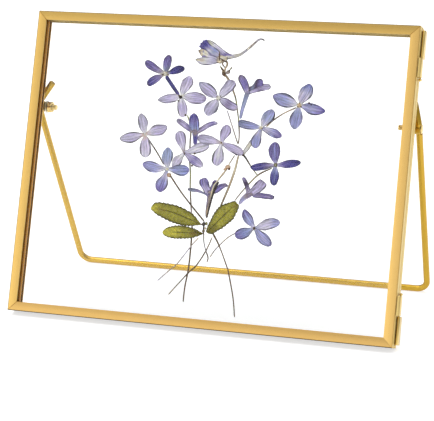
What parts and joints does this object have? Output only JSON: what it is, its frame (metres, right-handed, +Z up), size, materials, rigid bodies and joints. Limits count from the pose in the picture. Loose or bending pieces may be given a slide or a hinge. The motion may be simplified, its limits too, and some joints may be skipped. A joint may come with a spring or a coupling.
{
  "type": "pressed flower frame",
  "caption": "Tabletop frame that holds pressed flowers between two glass panes in hinged brass-coloured half frames, leaning back on a folding wire stand.",
  "frame": {"origin": "on the surface it stands on, under the middle of the object's outline", "axes": "+Z up; +X to the right of someone facing the flowers; +Y to the back, where the stand is, so the front faces -Y"},
  "size_m": [0.2098, 0.0989, 0.152],
  "materials": {
    "gold": "satin brass-plated metal",
    "steel": "bright zinc-plated washer",
    "glass": "clear float glass",
    "petal_violet": "dried petal, matt",
    "petal_blue": "dried petal, matt",
    "petal_lilac": "dried petal, matt",
    "petal_pale": "dried petal, matt",
    "leaf": "dried leaf, matt",
    "stem": "dried stem, matt"
  },
  "bodies": {
    "rear_half": {"rear_strip_bottom": "gold", "rear_strip_left": "gold", "rear_strip_top": "gold", "rear_strip_right": "gold", "rear_pane": "glass", "hinge_top_rear_leaf": "gold", "hinge_top_pin": "gold", "hinge_bottom_rear_leaf": "gold", "hinge_bottom_pin": "gold", "lug_left": "gold", "nut_left": "gold", "screw_left": "gold", "washer_left": "steel", "lug_right": "gold", "nut_right": "gold", "screw_right": "gold", "washer_right": "steel", "floret_1": "petal_violet", "floret_2": "petal_lilac", "floret_3": "petal_lilac", "floret_4": "petal_lilac", "floret_5": "petal_blue", "floret_6": "petal_blue", "floret_7": "petal_violet", "floret_8": "petal_lilac", "floret_9": "petal_violet", "floret_10": "petal_lilac", "floret_11": "petal_lilac", "floret_12": "petal_blue", "floret_13": "petal_violet", "floret_14": "petal_violet", "floret_15": "petal_blue", "larkspur": "petal_pale", "leaf_upper_left": "leaf", "leaf_lower_left": "leaf", "leaf_right": "leaf", "stem_main_left": "stem", "stem_main_right": "stem", "stem_middle": "stem", "stem_right": "stem", "stem_upper": "stem", "stem_translucent": "stem", "stem_dark": "stem", "tail_right": "stem", "tail_left": "stem", "tail_hooked": "stem", "tail_thin": "stem", "tail_pale": "stem"},
    "front_half": {"front_strip_bottom": "gold", "front_strip_left": "gold", "front_strip_top": "gold", "front_strip_right": "gold", "front_pane": "glass", "hinge_top_front_leaf": "gold", "hinge_bottom_front_leaf": "gold"},
    "stand": {"stand_wire": "gold"}
  },
  "joints": [
    {"name": "front_hinge", "type": "hinge", "parent": "rear_half", "child": "front_half", "pos_m": [0.1036, -0.01721, 0.07599], "axis": [0, 0.3502, 0.9367], "range_deg": [0, 175]},
    {"name": "stand_fold", "type": "hinge", "parent": "rear_half", "child": "stand", "pos_m": [0, 0.00391, 0.10034], "axis": [-1, 0, 0], "range_deg": [0, 46.5]}
  ]
}
